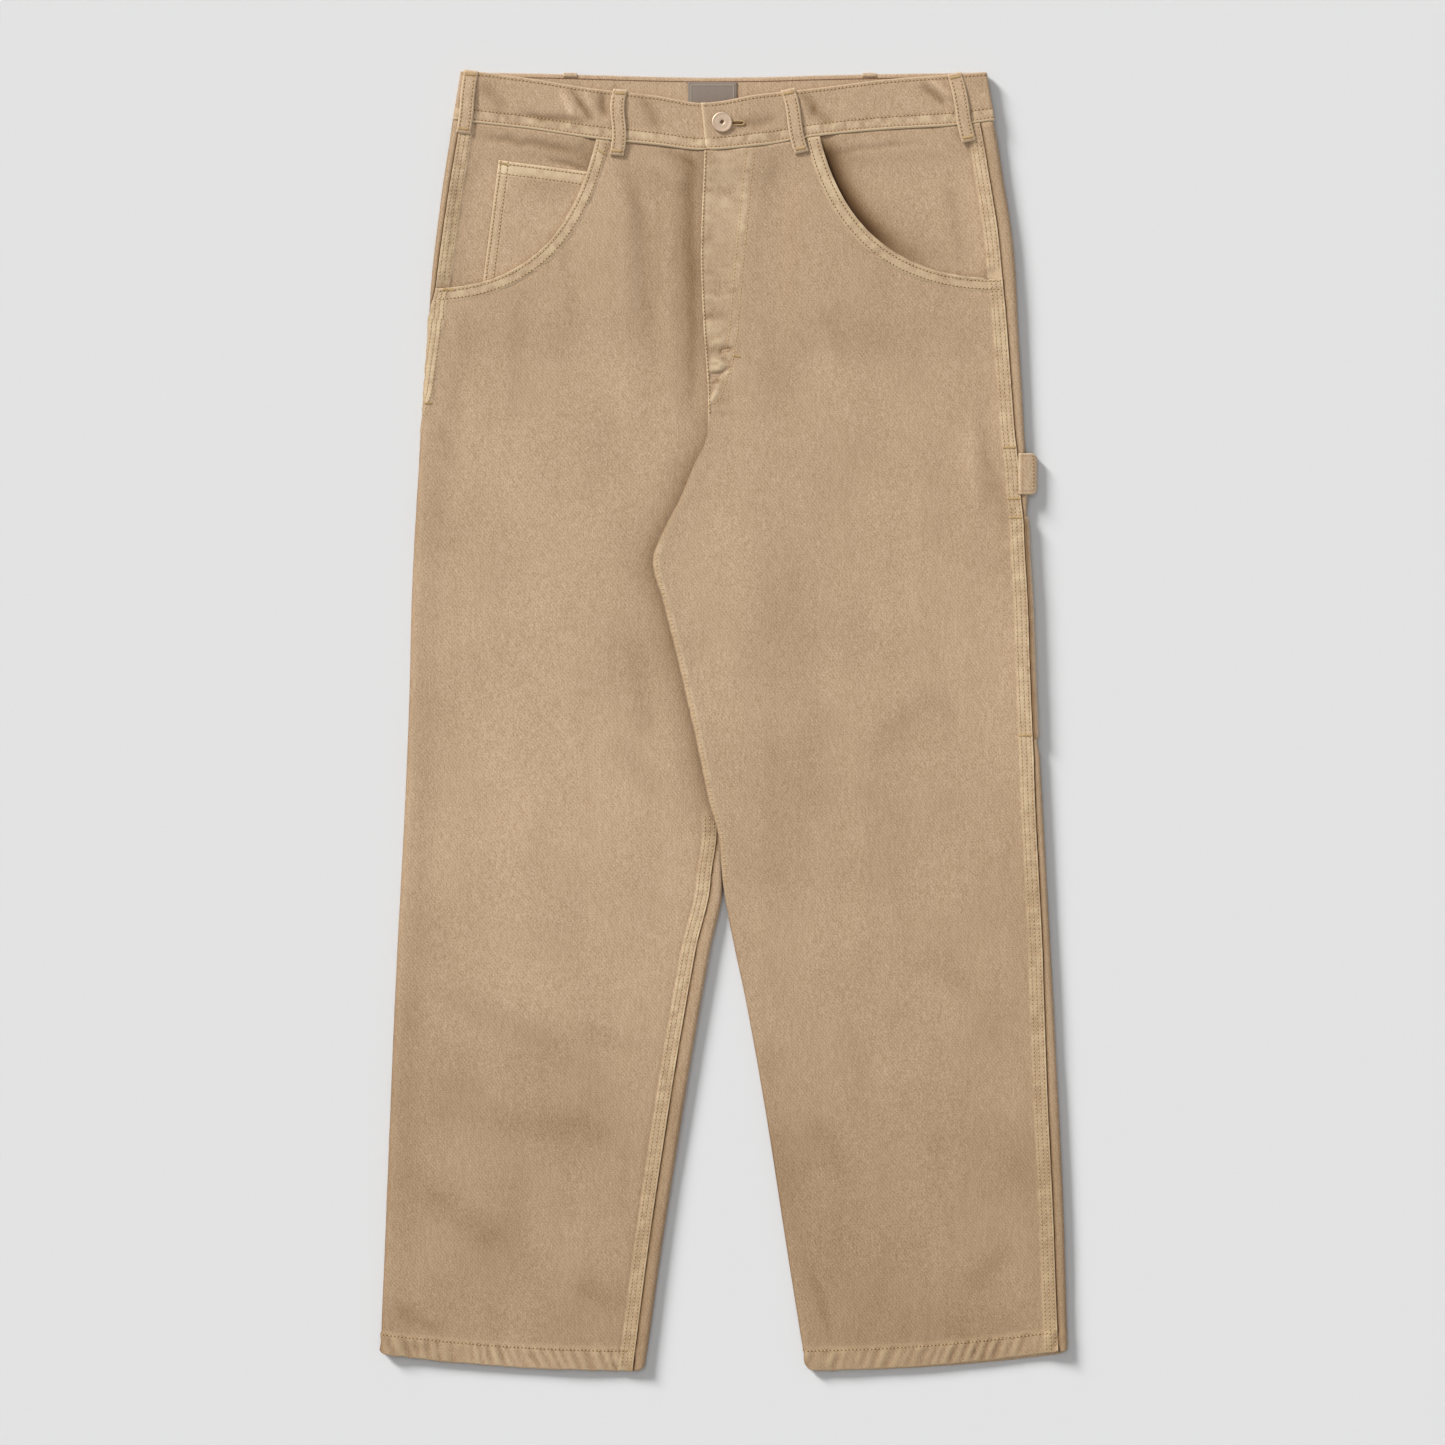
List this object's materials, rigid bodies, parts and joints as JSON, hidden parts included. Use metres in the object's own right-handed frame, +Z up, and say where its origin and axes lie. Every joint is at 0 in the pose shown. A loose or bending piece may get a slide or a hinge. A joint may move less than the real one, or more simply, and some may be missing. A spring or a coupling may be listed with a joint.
{
  "type": "carpenter pants",
  "caption": "Straight-leg carpenter pants in washed tan cotton twill, laid flat, with scooped front pockets, a coin pocket, a tool pocket and a hammer loop.",
  "frame": {"origin": "middle of the laid-out pants on the surface they rest on", "axes": "+X toward the wearer's left side, +Y from the hems to the waist, +Z up out of the front"},
  "size_m": [0.5494, 1.0394, 0.0119],
  "materials": {
    "twill": "washed matte cotton twill",
    "metal": "worn satin",
    "woven": "matte woven label"
  },
  "bodies": {
    "root": {"front_right": "twill", "front_left": "twill", "back_right": "twill", "back_left": "twill", "waistband": "twill", "pocket_facing_right": "twill", "pocket_facing_left": "twill", "coin_pocket": "twill", "tool_pocket": "twill", "hammer_loop": "twill", "belt_loop_side_right": "twill", "belt_loop_front_right": "twill", "belt_loop_front_left": "twill", "belt_loop_side_left": "twill", "belt_loop_back_right": "twill", "belt_loop_back_left": "twill", "button": "metal", "label": "woven"}
  },
  "joints": []
}
